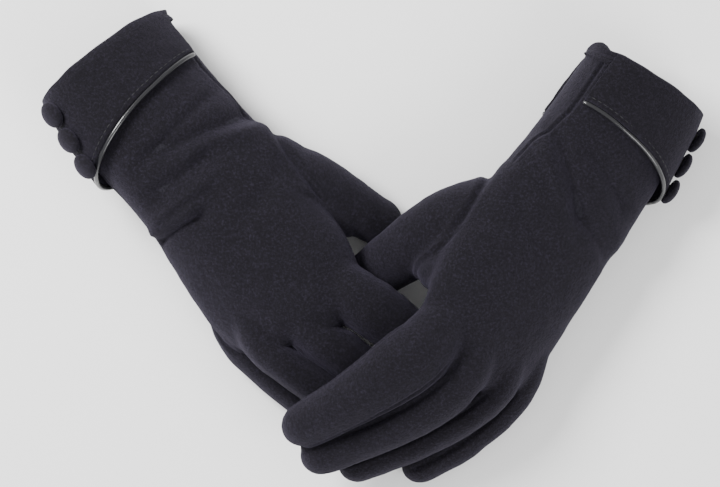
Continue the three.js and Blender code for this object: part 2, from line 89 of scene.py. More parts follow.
# Each digit's roll in degrees and its stations: x, y, z, half width, half thickness. A thumb's seam
# is given by x and y of both its ends.
DIGITS = {
    "right": {
        "thumb": {
            "roll": 0,
            "seam": [[-45, 54], [-10, 0]],
            "line": [
                [-66, 49, 26, 15, 14],
                [-41, 37, 23, 15, 12.5],
                [-21, 26.5, 17, 14, 10.5],
                [-1, 15, 10.5, 11.5, 8.6],
                [13, 10, 8.3, 9.6, 7.8],
            ],
        },
        "index": {
            "roll": 4,
            "line": [
                [-26, -9, 29, 11.5, 9],
                [-7, -23.5, 32, 13.5, 10.6],
                [8, -34, 30, 13, 10.4],
                [22, -44.5, 23, 11.5, 10],
                [32, -52, 15, 10.3, 9.6],
                [41, -58, 10.5, 9.5, 9],
            ],
        },
        "middle": {
            "roll": 8,
            "line": [
                [-44, -22, 28.5, 10.4, 9],
                [-30, -38.5, 30, 10.4, 10.2],
                [-15, -49.5, 28.5, 10.3, 10],
                [-3, -58.5, 21.5, 10.2, 9.8],
                [7, -66.5, 14.5, 10, 9.5],
                [14.5, -71.5, 10.4, 9.3, 9],
            ],
        },
        "ring": {
            "roll": 10,
            "line": [
                [-63, -26, 25, 9.4, 9],
                [-53, -45.5, 27.5, 9, 9.2],
                [-40, -56.5, 27.5, 9, 9],
                [-27, -66, 26, 9, 9],
                [-17, -73.5, 22, 8.8, 8.8],
                [-10, -78.5, 17.5, 8.6, 8.4],
            ],
        },
        "little": {
            "roll": 60,
            "line": [
                [-72, -22, 19, 8.6, 8.6],
                [-67, -40, 12.5, 8.8, 8.8],
                [-56.5, -53, 9, 8.6, 8.4],
                [-45, -63.5, 8.4, 8.4, 8.2],
                [-36, -70.5, 8.2, 8.2, 8],
                [-28.5, -75.5, 8.2, 8, 7.8],
            ],
        },
    },
    "left": {
        "thumb": {
            "roll": 6,
            "seam": [[56, 36], [24, -17]],
            "line": [
                [70, 22, 31, 15, 14],
                [46, 16, 33, 16.5, 13],
                [27, 6, 30, 15.5, 11.5],
                [13, -3.5, 23, 14, 9.6],
                [-0.5, -13, 12, 12, 8.6],
                [-11, -20, 8.4, 10, 7.8],
            ],
        },
        "index": {
            "roll": 12,
            "line": [
                [42, -24, 45, 11.5, 9],
                [28, -43, 51.5, 14.5, 11.5],
                [15, -54.5, 53, 15.5, 11],
                [0, -65, 51.5, 14, 10.5],
                [-16, -75, 47, 12, 10],
                [-30, -82.5, 41.5, 10.8, 9.4],
                [-40, -88, 36.5, 9.6, 8.8],
            ],
        },
        "middle": {
            "roll": 28,
            "line": [
                [54, -41, 39.5, 10.4, 9],
                [43.5, -60.5, 43, 10.6, 9.8],
                [28, -74, 41, 10.6, 9.8],
                [10, -84, 38, 10.2, 9.6],
                [-10, -92.5, 33.5, 9.8, 9.2],
                [-32, -101, 29, 9, 8.8],
            ],
        },
        "ring": {
            "roll": 44,
            "line": [
                [67, -47, 29.5, 9.4, 9],
                [59, -66, 28, 9.6, 9.6],
                [47, -77.5, 27, 9.2, 9.4],
                [30, -87.5, 24, 9.2, 9.2],
                [12, -96, 21, 9, 9],
                [-14.5, -106, 15, 8.6, 8.6],
            ],
        },
        "little": {
            "roll": 55,
            "line": [
                [77, -45, 20, 8.8, 9],
                [72, -63, 13, 9, 9.2],
                [61, -78, 10, 8.8, 9],
                [46, -91, 9, 8.8, 8.8],
                [32, -100, 8.6, 8.6, 8.5],
                [16.5, -107.5, 8.4, 8.4, 8.2],
            ],
        },
    },
}

# Where each digit's long seams run, in degrees round it.
SEAMS = {
    "thumb": [182],
    "index": [4, 146, 214],
    "middle": [-34, 34, 146, 214],
    "ring": [-34, 34, 146, 214],
    "little": [-34, 34, 180],
}

# The web of cloth between each thumb and index finger: x, y, z, half width, half thickness.
WEBS = {
    "right": [[-46, 36, 24, 13, 10], [-31, 20, 21, 12, 8.5], [-13, 4, 16, 7, 6]],
    "left": [[50, 11, 35, 13, 10], [38, -4, 36, 12, 10], [24, -18, 37, 8, 9]],
}

# Soft folds on the back of each hand: (s, across) of both ends, width, height. Across is positive on
# the thumb side; a height below zero is a valley.
FOLDS = {
    "right": [
        [(63, 30), (54, -6), 4.2, -3.0],
        [(71, 32), (61, 2), 4.2, 1.3],
        [(47, 22), (50, -18), 3.4, -1.8],
        [(68, 4), (66, -20), 4.4, -3.0],
        [(76, -6), (74, -30), 3.2, 2.0],
        [(82, -18), (78, -37), 3.0, 2.4],
        [(88, -14), (86, -37), 3.0, -2.8],
        [(98, 14), (90, 34), 4.5, -1.4],
    ],
    "left": [
        [(49, 24), (66, 2), 4.2, -2.8],
        [(58, 26), (72, 8), 4.0, 2.0],
        [(44, 8), (52, -16), 3.6, -1.8],
        [(60, -8), (65, -26), 3.8, 1.2],
        [(72, -8), (76, -28), 3.8, -1.8],
        [(84, 24), (96, 6), 4.5, -1.4],
    ],
}

BAND_START = 38
BAND_THICKNESS = 2.0
BAND_FLARE = 2.6
BAND_LENGTH = 34
BAND_LEAN = 6
BAND_BOW = 10
BAND_GAP = 0.35
FLAP_THICKNESS = BAND_THICKNESS - 0.3
FLAP_GAP = 0.1
PIPING_RADIUS = 1.15
CORNER_FLARE = {"right": 0.6, "left": 3.4}
CORNER_ANGLE = 4
BUTTON_RADIUS = 6.6
BUTTON_HEIGHT = 4.6
BUTTON_ANGLE = 168
BUTTON_STATIONS = [7.5, 20.5, 33.5]
PAD_LENGTH = 17
PAD_TIP_MARGIN = 6
PAD_HALF_ANGLE = 48
PAD_THICKNESS = 0.7
PAD_SUNK = -0.3
PALM_ANGLE = 270

HAND_SQUARENESS = 2.3
DIGIT_SQUARENESS = 2.0
CURVE_SAMPLES = 400
LOCATE_SAMPLES = 220
LOCATE_BLOCK = 4000

HAND_SIDES = 72
DIGIT_SIDES = 40
WEB_SIDES = 28
LINING_SIDES = 60
PIPING_SIDES = 14
STITCH_SIDES = 6
BUTTON_SIDES = 56
SHANK_SIDES = 20
PAD_SIDES = 64


# ---- limbs ------------------------------------------------------------------------------------
Frame = namedtuple("Frame", "centre along side back width thickness cup")
Place = namedtuple("Place", "s x z ratio")


def unit(vectors):
    """The vectors at length 1."""
    return vectors / np.linalg.norm(vectors, axis=-1, keepdims=True)


def catmull(rows, t):
    """Points of a uniform Catmull-Rom curve through rows at parameters t from 0 to 1."""
    ends = np.vstack([2 * rows[0] - rows[1], rows, 2 * rows[-1] - rows[-2]])
    place = np.clip(t, 0, 1) * (len(rows) - 1)
    i = np.minimum(place.astype(int), len(rows) - 2)
    u = (place - i)[:, None]
    p0, p1, p2, p3 = (ends[i + k] for k in range(4))
    cubic = 3 * p1 - p0 - 3 * p2 + p3
    square = 2 * p0 - 5 * p1 + 4 * p2 - p3
    return 0.5 * (2 * p1 + (p2 - p0) * u + square * u**2 + cubic * u**3)


class Limb:
    """A hand or a digit: a middle line with a rounded cross-section square to it, in millimetres.

    Angle 0 is the thumb side, 90 the back of the hand and 270 the palm, on both gloves.
    """

    def __init__(self, rows, thumbward, squareness, floor):
        self.rows = np.array(rows, float)
        self.rows[:, :3] -= FOOTPRINT_MIDDLE
        self.thumbward = thumbward
        self.squareness = squareness
        self.floor = floor
        self.fine_t = np.linspace(0, 1, CURVE_SAMPLES)
        fine = catmull(self.rows, self.fine_t)[:, :3]
        steps = np.linalg.norm(np.diff(fine, axis=0), axis=1)
        self.fine_s = np.concatenate([[0], np.cumsum(steps)])
        self.length = self.fine_s[-1]
        self.root = np.linalg.norm(self.rows[1, :3] - self.rows[0, :3]) + WEB_LENGTH

    def frames(self, s):
        """The limb's middle, directions and half sizes at s millimetres along it."""
        s = np.atleast_1d(np.asarray(s, float))
        inside = np.clip(s, 0, self.length)
        t = np.interp(inside, self.fine_s, self.fine_t)
        row = catmull(self.rows, t)
        ahead = catmull(self.rows, np.clip(t + 1e-3, 0, 1))[:, :3]
        behind = catmull(self.rows, np.clip(t - 1e-3, 0, 1))[:, :3]
        along = unit(ahead - behind)
        centre = row[:, :3] + along * (s - inside)[:, None]
        flat = np.stack([-along[:, 1], along[:, 0], np.zeros(len(s))], axis=1)
        flat = unit(flat) * self.thumbward
        up = np.cross(along, flat) * self.thumbward
        roll = np.radians(row[:, 5])[:, None]
        side = flat * np.cos(roll) + up * np.sin(roll)
        back = up * np.cos(roll) - flat * np.sin(roll)
        return Frame(centre, along, side, back, row[:, 3], row[:, 4], row[:, 6])

    def skin(self, s, angle, offset=0.0, share=1.0, floor=None):
        """Points at s along and angle degrees round: offset moves them out, share scales the section."""
        s, angle, offset, share = np.broadcast_arrays(
            *(np.atleast_1d(np.asarray(v, float)) for v in (s, angle, offset, share)))
        at = self.frames(s)
        cosine, sine = np.cos(np.radians(angle)), np.sin(np.radians(angle))
        power = 2 / self.squareness
        x = np.sign(cosine) * np.abs(cosine) ** power * (at.width + offset) * share
        z = np.sign(sine) * np.abs(sine) ** power * (at.thickness + offset) * share
        z = z - at.cup * np.minimum(1, (x / at.width) ** 2)
        points = at.centre + at.side * x[:, None] + at.back * z[:, None]
        lowest = self.floor - offset if floor is None else floor
        points[:, 2] = np.maximum(points[:, 2], lowest)
        return points

    def locate(self, points):
        """Where points near the limb lie: s along it, x across, z over, and ratio, 1 on its skin."""
        samples = np.linspace(0, self.length, LOCATE_SAMPLES)
        at = self.frames(samples)
        nearest = np.empty(len(points), int)
        for first in range(0, len(points), LOCATE_BLOCK):
            block = slice(first, first + LOCATE_BLOCK)
            gaps = np.linalg.norm(points[block, None, :] - at.centre[None, :, :], axis=2)
            nearest[block] = gaps.argmin(axis=1)
        width, thickness = at.width[nearest], at.thickness[nearest]
        away = points - at.centre[nearest]
        step = (away * at.along[nearest]).sum(1)
        x = (away * at.side[nearest]).sum(1)
        z = (away * at.back[nearest]).sum(1) + at.cup[nearest] * np.minimum(1, (x / width) ** 2)
        ratio = np.abs(x / width) ** self.squareness + np.abs(z / thickness) ** self.squareness
        ratio = ratio ** (1 / self.squareness)
        s = samples[nearest] + step
        beyond = np.maximum(0, s - self.length) + np.maximum(0, -s)
        return Place(s, x, z, np.hypot(ratio, beyond / width))


def make_limbs(side):
    """The glove's limbs by name, the hand first."""
    thumbward = THUMBWARD[side]
    limbs = {"hand": Limb(HANDS[side], thumbward, HAND_SQUARENESS, HAND_FLOOR)}
    for name in DIGIT_NAMES:
        digit = DIGITS[side][name]
        rows = [station + [digit["roll"], 0] for station in digit["line"]]
        floor = PADDED_FLOOR if name in ("thumb", "index") else 0.0
        limbs[name] = Limb(rows, thumbward, DIGIT_SQUARENESS, floor)
    return limbs


# ---- meshes -----------------------------------------------------------------------------------
def new_object(name, points, faces):
    """A smoothly shaded mesh object from points in millimetres."""
    mesh = bpy.data.meshes.new(name)
    corners = [[int(corner) for corner in face] for face in faces]
    mesh.from_pydata((np.asarray(points) * MM).tolist(), [], corners)
    mesh.update()
    mesh.shade_smooth()
    made = bpy.data.objects.new(name, mesh)
    bpy.context.scene.collection.objects.link(made)
    return made


def closed_stack(rings, flip=False, open_start=False):
    """(points, faces) of a shape through rings of points, capped at both ends or only at the last."""
    sides = len(rings[0])
    last = (len(rings) - 1) * sides
    faces = []
    for first in range(0, last, sides):
        for i in range(sides):
            j = (i + 1) % sides
            faces.append([first + i, first + j, first + sides + j, first + sides + i])
    if not open_start:
        faces.append(list(range(sides))[::-1])
    faces.append(list(range(last, last + sides)))
    if flip:
        faces = [face[::-1] for face in faces]
    return np.vstack(rings), faces


def join_parts(parts):
    """One (points, faces) from several."""
    points, faces, count = [], [], 0
    for part_points, part_faces in parts:
        points.append(part_points)
        faces += [[i + count for i in face] for face in part_faces]
        count += len(part_points)
    return np.vstack(points), faces


def tube(limb, rings, sides, offset=0.0, shift=None, open_start=False):
    """A limb's skin through rings of (s, share, out). Shift moves each angle of a ring along it."""
    angles = np.arange(sides) * 360 / sides
    stack = []
    for s, share, out in rings:
        slide = shift(angles, s) * share if shift else np.zeros(sides)
        stack.append(limb.skin(s + slide, angles, offset + out, share))
    return closed_stack(stack, limb.thumbward > 0, open_start)


def rounded_end(end, radius, steps=8):
    """Rings that round a tube off over its last stretch: (s, share, 0)."""
    turns = np.radians(np.linspace(10, 84, steps))
    return [(end - radius + radius * math.sin(a), math.cos(a), 0.0) for a in turns]


def ease(value, low, high):
    """A smooth rise from 0 at low to 1 at high."""
    t = np.clip((value - low) / (high - low), 0, 1)
    return t * t * (3 - 2 * t)


# ---- the glove's skin -------------------------------------------------------------------------
# The digits are drawn in by PINCH before the remesh, so that neighbours stay apart, and grow back.
PINCH = 1.15
REGROWTH = {"right": 1.75, "left": 1.55}
RING_SLIMMING = 0.5
ROOT_BEFORE = 6
ROOT_AFTER = 3
VOXEL = 0.8
MOUTH_SPARE = 9
KNUCKLE_ROUND = 10
WEB_END = 5
SKIN_FLOOR = 0.3
LUMP_SEED = {"right": 1, "left": 2}

# Across a seam: the depth and width of its groove, then the height of the swell on either side of
# it, how far out that lies, and its width. The seams of the right glove's digits hardly show.
GUSSET_SEAM = (1.3, 1.5, 0.35, 3.2, 1.8)
HAND_SEAM = (0.8, 1.1, 0.25, 2.8, 1.5)
DIGIT_SEAM = {"right": (0.15, 0.9, 0.0375, 2.2, 1.2), "left": (1.0, 0.9, 0.25, 2.2, 1.2)}
HAND_SEAM_REACH = 30.0
GUSSET_LENGTH = 24


def mouth_shift(angle, s):
    """How far the slanted mouth moves the cloth along the hand, fading out past it."""
    return -MOUTH_TILT * np.sin(np.radians(angle)) * np.maximum(0, 1 - s / MOUTH_FADE)


def hand_shift(limb):
    """The shift of the hand's rings: slanted at the mouth, and leaning over the knuckles."""
    def shift(angle, s):
        lean = KNUCKLE_LEAN * np.cos(np.radians(angle))
        return mouth_shift(angle, s) + lean * max(0, 1 - (limb.length - s) / KNUCKLE_FADE)
    return shift


def hand_rings(limb):
    """Rings of the hand, from before its mouth to its rounded front between the fingers."""
    rings = [(s, 1.0, 0.0) for s in np.arange(-MOUTH_SPARE, limb.length - KNUCKLE_ROUND, 1.8)]
    front = limb.length - (KNUCKLE_ROUND - 1)
    for turn in np.radians(np.linspace(0, 80, 9)):
        rings.append((front + KNUCKLE_ROUND * math.sin(turn), 0.55 + 0.45 * math.cos(turn), 0))
    return rings


def past_root(limb, s):
    """A rise from 0 before a digit's root to 1 beyond it."""
    return ease(s, limb.root - ROOT_BEFORE, limb.root + ROOT_AFTER)


def digit_rings(limb):
    """Rings of a digit, drawn in beyond its root and rounded off at its tip."""
    radius = limb.rows[-1, 3]
    rings = [(s, 1.0, -PINCH * past_root(limb, s)) for s in np.arange(0, limb.length - radius, 1.2)]
    return rings + [(s, share, -PINCH) for s, share, _ in rounded_end(limb.length, radius)]


def remeshed(points, faces):
    """The outside of overlapping closed tubes as one even mesh: (points, quads)."""
    source = new_object("remesh_source", points, faces)
    remesh = source.modifiers.new("remesh", "REMESH")
    remesh.mode = "VOXEL"
    remesh.voxel_size = VOXEL * MM
    graph = bpy.context.evaluated_depsgraph_get()
    mesh = bpy.data.meshes.new_from_object(source.evaluated_get(graph))
    out = np.empty(len(mesh.vertices) * 3)
    mesh.vertices.foreach_get("co", out)
    corners = np.empty(len(mesh.loops), int)
    mesh.loops.foreach_get("vertex_index", corners)
    bpy.data.objects.remove(source)
    bpy.data.meshes.remove(mesh)
    return out.reshape(-1, 3) / MM, corners.reshape(-1, 4)


def edges_of(quads):
    """Every edge of the quads once, as pairs of point numbers."""
    pairs = np.vstack([quads[:, [0, 1]], quads[:, [1, 2]], quads[:, [2, 3]], quads[:, [3, 0]]])
    return np.unique(np.sort(pairs, axis=1), axis=0)


def smoothed(points, edges, strength, rounds):
    """Points moved towards the mean of their neighbours, by strength each round."""
    a, b = edges[:, 0], edges[:, 1]
    count = np.bincount(a, minlength=len(points)) + np.bincount(b, minlength=len(points))
    share = np.asarray(strength).reshape(-1, 1)
    for _ in range(rounds):
        total = np.stack([
            np.bincount(a, points[b, k], len(points)) + np.bincount(b, points[a, k], len(points))
            for k in range(3)], axis=1)
        points = points + share * (total / np.maximum(count, 1)[:, None] - points)
    return points


def normals_of(points, quads):
    """Each point's outward direction, from the faces round it."""
    across = np.cross(points[quads[:, 2]] - points[quads[:, 0]],
                      points[quads[:, 3]] - points[quads[:, 1]])
    out = np.zeros_like(points)
    for k in range(4):
        for axis in range(3):
            out[:, axis] += np.bincount(quads[:, k], across[:, axis], len(points))
    return out / np.maximum(np.linalg.norm(out, axis=1, keepdims=True), 1e-9)


def turn_from(angle, seam):
    """Degrees between two directions, from -180 to 180."""
    return (angle - seam + 180) % 360 - 180


def seam_plane(side):
    """(a point of the thumb's seam, the level direction out of it towards the thumb's tip)."""
    (x0, y0), (x1, y1) = DIGITS[side]["thumb"]["seam"]
    tip = DIGITS[side]["thumb"]["line"][-1]
    out = unit(np.array([-(y1 - y0), x1 - x0, 0.0]))
    if out[0] * (tip[0] - x0) + out[1] * (tip[1] - y0) < 0:
        out = -out
    return np.array([x0, y0, 0.0]) - FOOTPRINT_MIDDLE, out


def lumps(points, size, seed):
    """Smooth random heights from -1 to 1, about size millimetres across."""
    shift = Vector((seed * 7.3, seed * 3.1, seed * 1.7))
    return np.array([noise.noise(Vector(p) / size + shift) for p in points])


def groove(distance, width):
    """A rounded dip across a line: 1 on the line, fading out past width."""
    return np.exp(-(distance / width) ** 2)


def seam_relief(distance, section):
    """Height of the cloth at a distance from a sewn seam."""
    depth, width, rise, beside, rise_width = section
    return rise * groove(distance - beside, rise_width) - depth * groove(distance, width)


def fold_height(side, s, x):
    """Height of the hand's soft folds at s along and x across, on its back."""
    total = np.zeros_like(s)
    for (s0, x0), (s1, x1), width, height in FOLDS[side]:
        line = np.array([s1 - s0, x1 - x0], float)
        length = np.linalg.norm(line)
        line /= length
        run = (s - s0) * line[0] + (x - x0) * line[1]
        off = np.abs(-(s - s0) * line[1] + (x - x0) * line[0])
        off = off + 1.2 * np.sin(run / length * math.pi)
        ends = np.maximum(0, np.maximum(-run, run - length))
        total += height * groove(off, width) * groove(ends, width * 2.2)
    return total


def merged_tubes(limbs, web):
    """The hand, the digits and the web of the thumb as one skin: (points, quads, edges)."""
    hand = limbs["hand"]
    parts = [tube(hand, hand_rings(hand), HAND_SIDES, shift=hand_shift(hand))]
    parts += [tube(limbs[name], digit_rings(limbs[name]), DIGIT_SIDES) for name in DIGIT_NAMES]
    web_rings = [(s, 1.0, 0.0) for s in np.arange(0, web.length - WEB_END, 1.5)]
    parts.append(tube(web, web_rings + rounded_end(web.length, WEB_END), WEB_SIDES))
    points, quads = remeshed(*join_parts(parts))
    edges = edges_of(quads)
    return smoothed(points, edges, 0.5, 4), quads, edges


def softened(points, edges, limbs, web, places):
    """Points smoothed where the digits leave the hand, and over the web of the thumb."""
    joins = np.zeros(len(points))
    for name in DIGIT_NAMES:
        place = places[name]
        reach = limbs[name].length * 0.35 if name == "thumb" else limbs[name].root
        at_root = 1 - ease(place.s, reach - 2, reach + 8)
        joins = np.maximum(joins, at_root * (1 - ease(place.ratio, 1.3, 1.8)))
    points = smoothed(points, edges, 0.5 * joins, 14)
    near_web = 1 - ease(web.locate(points).ratio, 1.2, 1.9)
    return smoothed(points, edges, 0.5 * near_web, 70)


def open_mouth(points, quads, hand):
    """The skin cut off at the mouth's slanted plane, with its edge brought onto that plane."""
    at = hand.frames(0.0)
    tilt = unit(at.along[0] + at.back[0] * MOUTH_TILT / at.thickness[0])
    height = (points - at.centre[0]) @ tilt
    quads = quads[height[quads].mean(axis=1) > 0]
    near = np.unique(quads[(height[quads] < VOXEL).any(axis=1)])
    edge = near[height[near] < 0.5 * VOXEL]
    points = points.copy()
    points[edge] -= np.outer(height[edge], tilt)
    return points, quads


def owners(side, points, limbs, places):
    """Which piece each point belongs to: 0 is the hand, and the digits follow in their order."""
    owner = np.zeros(len(points), int)
    best = np.full(len(points), np.inf)
    origin, out = seam_plane(side)
    for i, name in enumerate(DIGIT_NAMES, start=1):
        s, _, _, ratio = places[name]
        if name == "thumb":
            beyond_seam = (points - origin) @ out > 0
            inside = beyond_seam & (ratio < 1.45) & (ratio < places["hand"].ratio)
        else:
            inside = (s > limbs[name].root - 1) & (ratio < 1.6)
        mine = inside & (ratio < best)
        owner[mine] = i
        best[mine] = ratio[mine]
    return owner


def digit_relief(side, name, limb, place, points):
    """How far a digit's cloth moves out: its regrowth after the pinch, and its seams."""
    near = 1 - ease(place.ratio, 1.15, 1.35)
    regrowth = REGROWTH[side] - (RING_SLIMMING if name == "ring" else 0)
    lift = regrowth * near * past_root(limb, place.s)
    start = limb.root - ROOT_BEFORE
    if name == "thumb":
        origin, out = seam_plane(side)
        on_gusset = 1 - ease(place.ratio, 1.1, 1.5)
        lift += on_gusset * seam_relief(np.abs((points - origin) @ out), GUSSET_SEAM)
        start = GUSSET_LENGTH
    half_width, half_thickness = limb.rows[2, 3], limb.rows[2, 4]
    angle = np.degrees(np.arctan2(place.z / half_thickness, place.x / half_width))
    ends = ease(place.s, start, start + 8) * (1 - ease(place.s, limb.length - 7, limb.length - 1))
    for seam_angle in SEAMS[name]:
        off = np.radians(np.abs(turn_from(angle, seam_angle))) * half_width
        lift += near * ends * seam_relief(off, DIGIT_SEAM[side])
    return lift


def hand_relief(side, limb, place):
    """How far the hand's cloth moves out: the folds on its back, and its seams on both sides."""
    on_back = ease(place.z, 0, 6) * (1 - ease(place.ratio, 1.15, 1.4))
    lift = fold_height(side, place.s, place.x) * on_back
    angle = np.degrees(np.arctan2(place.z / 18.0, place.x / 37.0))
    on_hand = 1 - ease(place.ratio, 1.1, 1.25)
    thumb_side = BAND_START - 22 * ease(place.s, BAND_LENGTH - 4, 66)
    for seam_angle, first, last in ((thumb_side, -5, 72), (180, -5, limb.length)):
        off = np.radians(np.abs(turn_from(angle, seam_angle))) * HAND_SEAM_REACH
        run = ease(place.s, first, first + 3) * (1 - ease(place.s, last - 8, last))
        lift += on_hand * run * seam_relief(off, HAND_SEAM)
    return lift


def glove_skin(side, limbs):
    """The whole outer skin of a glove, and the owner of each of its points."""
    web_rows = [station + [0, 0] for station in WEBS[side]]
    web = Limb(web_rows, THUMBWARD[side], DIGIT_SQUARENESS, 0.5)
    points, quads, edges = merged_tubes(limbs, web)
    places = {name: limb.locate(points) for name, limb in limbs.items()}
    points = softened(points, edges, limbs, web, places)
    points, quads = open_mouth(points, quads, limbs["hand"])
    owner = owners(side, points, limbs, places)

    lift = hand_relief(side, limbs["hand"], places["hand"])
    for name in DIGIT_NAMES:
        lift += digit_relief(side, name, limbs[name], places[name], points)
    lift += 0.45 * lumps(points, 17, LUMP_SEED[side])
    lift += 0.22 * lumps(points, 6.5, 3)
    points = points + normals_of(points, quads) * lift[:, None]
    points = smoothed(points, edges, 0.35, 1)
    points[:, 2] = np.maximum(points[:, 2], SKIN_FLOOR)
    return points, quads, owner


def cut_piece(name, points, quads, normals, mask):
    """The faces of a skin where mask is true, shaded as part of the whole skin."""
    chosen = quads[mask]
    used, renumbered = np.unique(chosen, return_inverse=True)
    made = new_object(name, points[used], renumbered.reshape(-1, 4))
    made.data.normals_split_custom_set_from_vertices(normals[used].tolist())
    return made


# ---- materials --------------------------------------------------------------------------------
def linear(*srgb):
    """A colour given as 0-255 sRGB values."""
    parts = [v / 255 for v in srgb]
    return tuple(v / 12.92 if v <= 0.04045 else ((v + 0.055) / 1.055) ** 2.4 for v in parts) + (1.0,)


def new_material(name):
    """A material with its nodes, links and main shader."""
    material = bpy.data.materials.new(name)
    material.use_nodes = True
    nodes = material.node_tree.nodes
    return material, nodes, material.node_tree.links, nodes["Principled BSDF"]


def textured(nodes, links, kind, scale, **settings):
    """A texture node in object coordinates, at scale per metre."""
    where = nodes.get("where") or nodes.new("ShaderNodeTexCoord")
    where.name = "where"
    texture = nodes.new(kind)
    texture.inputs["Scale"].default_value = scale
    for key, value in settings.items():
        texture.inputs[key].default_value = value
    links.new(where.outputs["Object"], texture.inputs["Vector"])
    return texture


def ramp(nodes, links, source, stops):
    """A colour ramp through (place, colour) stops."""
    made = nodes.new("ShaderNodeValToRGB")
    elements = made.color_ramp.elements
    while len(elements) < len(stops):
        elements.new(0.5)
    for element, (place, colour) in zip(elements, stops):
        element.position = place
        element.color = colour
    links.new(source, made.inputs["Fac"])
    return made.outputs["Color"]


def bumped(nodes, links, shader, layers):
    """Chains bump nodes from (height output, strength, distance in metres) onto a shader."""
    normal = None
    for height, strength, distance in layers:
        bump = nodes.new("ShaderNodeBump")
        bump.inputs["Strength"].default_value = strength
        bump.inputs["Distance"].default_value = distance
        links.new(height, bump.inputs["Height"])
        if normal:
            links.new(normal, bump.inputs["Normal"])
        normal = bump.outputs["Normal"]
    links.new(normal, shader.inputs["Normal"])


def brushed_knit(name, dark, mid, light, sheen=0.26, nap=0.8):
    """Brushed fleece-backed knit: melange colour, short nap and a soft rim sheen."""
    material, nodes, links, shader = new_material(name)
    fleck = textured(nodes, links, "ShaderNodeTexNoise", 850, Detail=5.0, Roughness=0.8)
    cloud = textured(nodes, links, "ShaderNodeTexNoise", 120, Detail=5.0, Roughness=0.65)
    colour = ramp(nodes, links, fleck.outputs["Fac"], [(0.36, dark), (0.5, mid), (0.66, light)])
    shade = ramp(nodes, links, cloud.outputs["Fac"],
                 [(0.3, (0.74, 0.74, 0.75, 1)), (0.7, (1.0, 1.0, 1.0, 1))])
    mix = nodes.new("ShaderNodeMixRGB")
    mix.blend_type = "MULTIPLY"
    mix.inputs["Fac"].default_value = 1.0
    links.new(colour, mix.inputs["Color1"])
    links.new(shade, mix.inputs["Color2"])
    links.new(mix.outputs["Color"], shader.inputs["Base Color"])
    shader.inputs["Roughness"].default_value = 0.92
    shader.inputs["Specular IOR Level"].default_value = 0.18
    shader.inputs["Sheen Weight"].default_value = sheen
    shader.inputs["Sheen Roughness"].default_value = 0.55
    shader.inputs["Sheen Tint"].default_value = linear(128, 120, 148)
    clump = textured(nodes, links, "ShaderNodeTexNoise", 520, Detail=6.0, Roughness=0.7)
    fibre = textured(nodes, links, "ShaderNodeTexNoise", 2600, Detail=3.0, Roughness=0.8)
    bumped(nodes, links, shader, [
        (clump.outputs["Fac"], nap, 0.0009),
        (fibre.outputs["Fac"], nap, 0.0004),
    ])
    return material


def soft_leather(name, colour):
    """Smooth coated leather with a fine grain and a clear highlight."""
    material, nodes, links, shader = new_material(name)
    cells = textured(nodes, links, "ShaderNodeTexVoronoi", 1500)
    tone = textured(nodes, links, "ShaderNodeTexNoise", 240, Detail=4.0)
    base = ramp(nodes, links, tone.outputs["Fac"],
                [(0.3, colour), (0.75, tuple(min(1, c * 1.5) for c in colour[:3]) + (1,))])
    links.new(base, shader.inputs["Base Color"])
    shader.inputs["Roughness"].default_value = 0.3
    shader.inputs["Specular IOR Level"].default_value = 0.45
    shader.inputs["Coat Weight"].default_value = 0.5
    shader.inputs["Coat Roughness"].default_value = 0.1
    bumped(nodes, links, shader, [(cells.outputs["Distance"], 0.25, 0.0002)])
    return material


def sewing_thread(name, colour):
    """Twisted thread."""
    material, nodes, links, shader = new_material(name)
    twist = textured(nodes, links, "ShaderNodeTexWave", 1600, Distortion=1.5)
    base = ramp(nodes, links, twist.outputs["Fac"],
                [(0.2, colour), (0.8, tuple(min(1, c * 1.7) for c in colour[:3]) + (1,))])
    links.new(base, shader.inputs["Base Color"])
    shader.inputs["Roughness"].default_value = 0.6
    bumped(nodes, links, shader, [(twist.outputs["Fac"], 0.4, 0.0002)])
    return material


def fine_knit(name, dark, light):
    """Smooth conductive knit in fine ribs."""
    material, nodes, links, shader = new_material(name)
    rib = textured(nodes, links, "ShaderNodeTexWave", 900, Distortion=0.6)
    fleck = textured(nodes, links, "ShaderNodeTexNoise", 2400, Detail=3.0)
    base = ramp(nodes, links, fleck.outputs["Fac"], [(0.35, dark), (0.7, light)])
    links.new(base, shader.inputs["Base Color"])
    shader.inputs["Roughness"].default_value = 0.62
    shader.inputs["Sheen Weight"].default_value = 0.3
    bumped(nodes, links, shader, [(rib.outputs["Fac"], 0.5, 0.0003)])
    return material


NAVY_DARK = linear(5, 4, 7)
NAVY = linear(12, 10, 15)
NAVY_LIGHT = linear(34, 31, 42)
CUFF_LIGHT = linear(32, 29, 39)
LOOKS = {
    "shell": brushed_knit("brushed_knit", NAVY_DARK, NAVY, NAVY_LIGHT),
    "band": brushed_knit("band_knit", NAVY_DARK, NAVY, CUFF_LIGHT, 0.22),
    "button": brushed_knit("button_cloth", NAVY_DARK, NAVY, CUFF_LIGHT, 0.24, 0.35),
    "lining": brushed_knit(
        "plush_lining", linear(12, 12, 15), linear(22, 21, 26), linear(38, 37, 44), 0.3, 1.0),
    "piping": soft_leather("piping_leather", linear(14, 14, 18)),
    "thread": sewing_thread("sewing_thread", linear(13, 12, 17)),
    "pad": fine_knit("touch_knit", linear(40, 40, 46), linear(74, 74, 82)),
}


def dressed(made, look):
    """The object with its material."""
    made.data.materials.append(LOOKS[look])
    return made


# ---- cuffs ------------------------------------------------------------------------------------
def band_edge(angle):
    """How far along the hand the flap's free edge lies."""
    turn = np.radians(angle)
    return BAND_LENGTH - BAND_LEAN * np.cos(turn) - BAND_BOW * np.sin(turn)


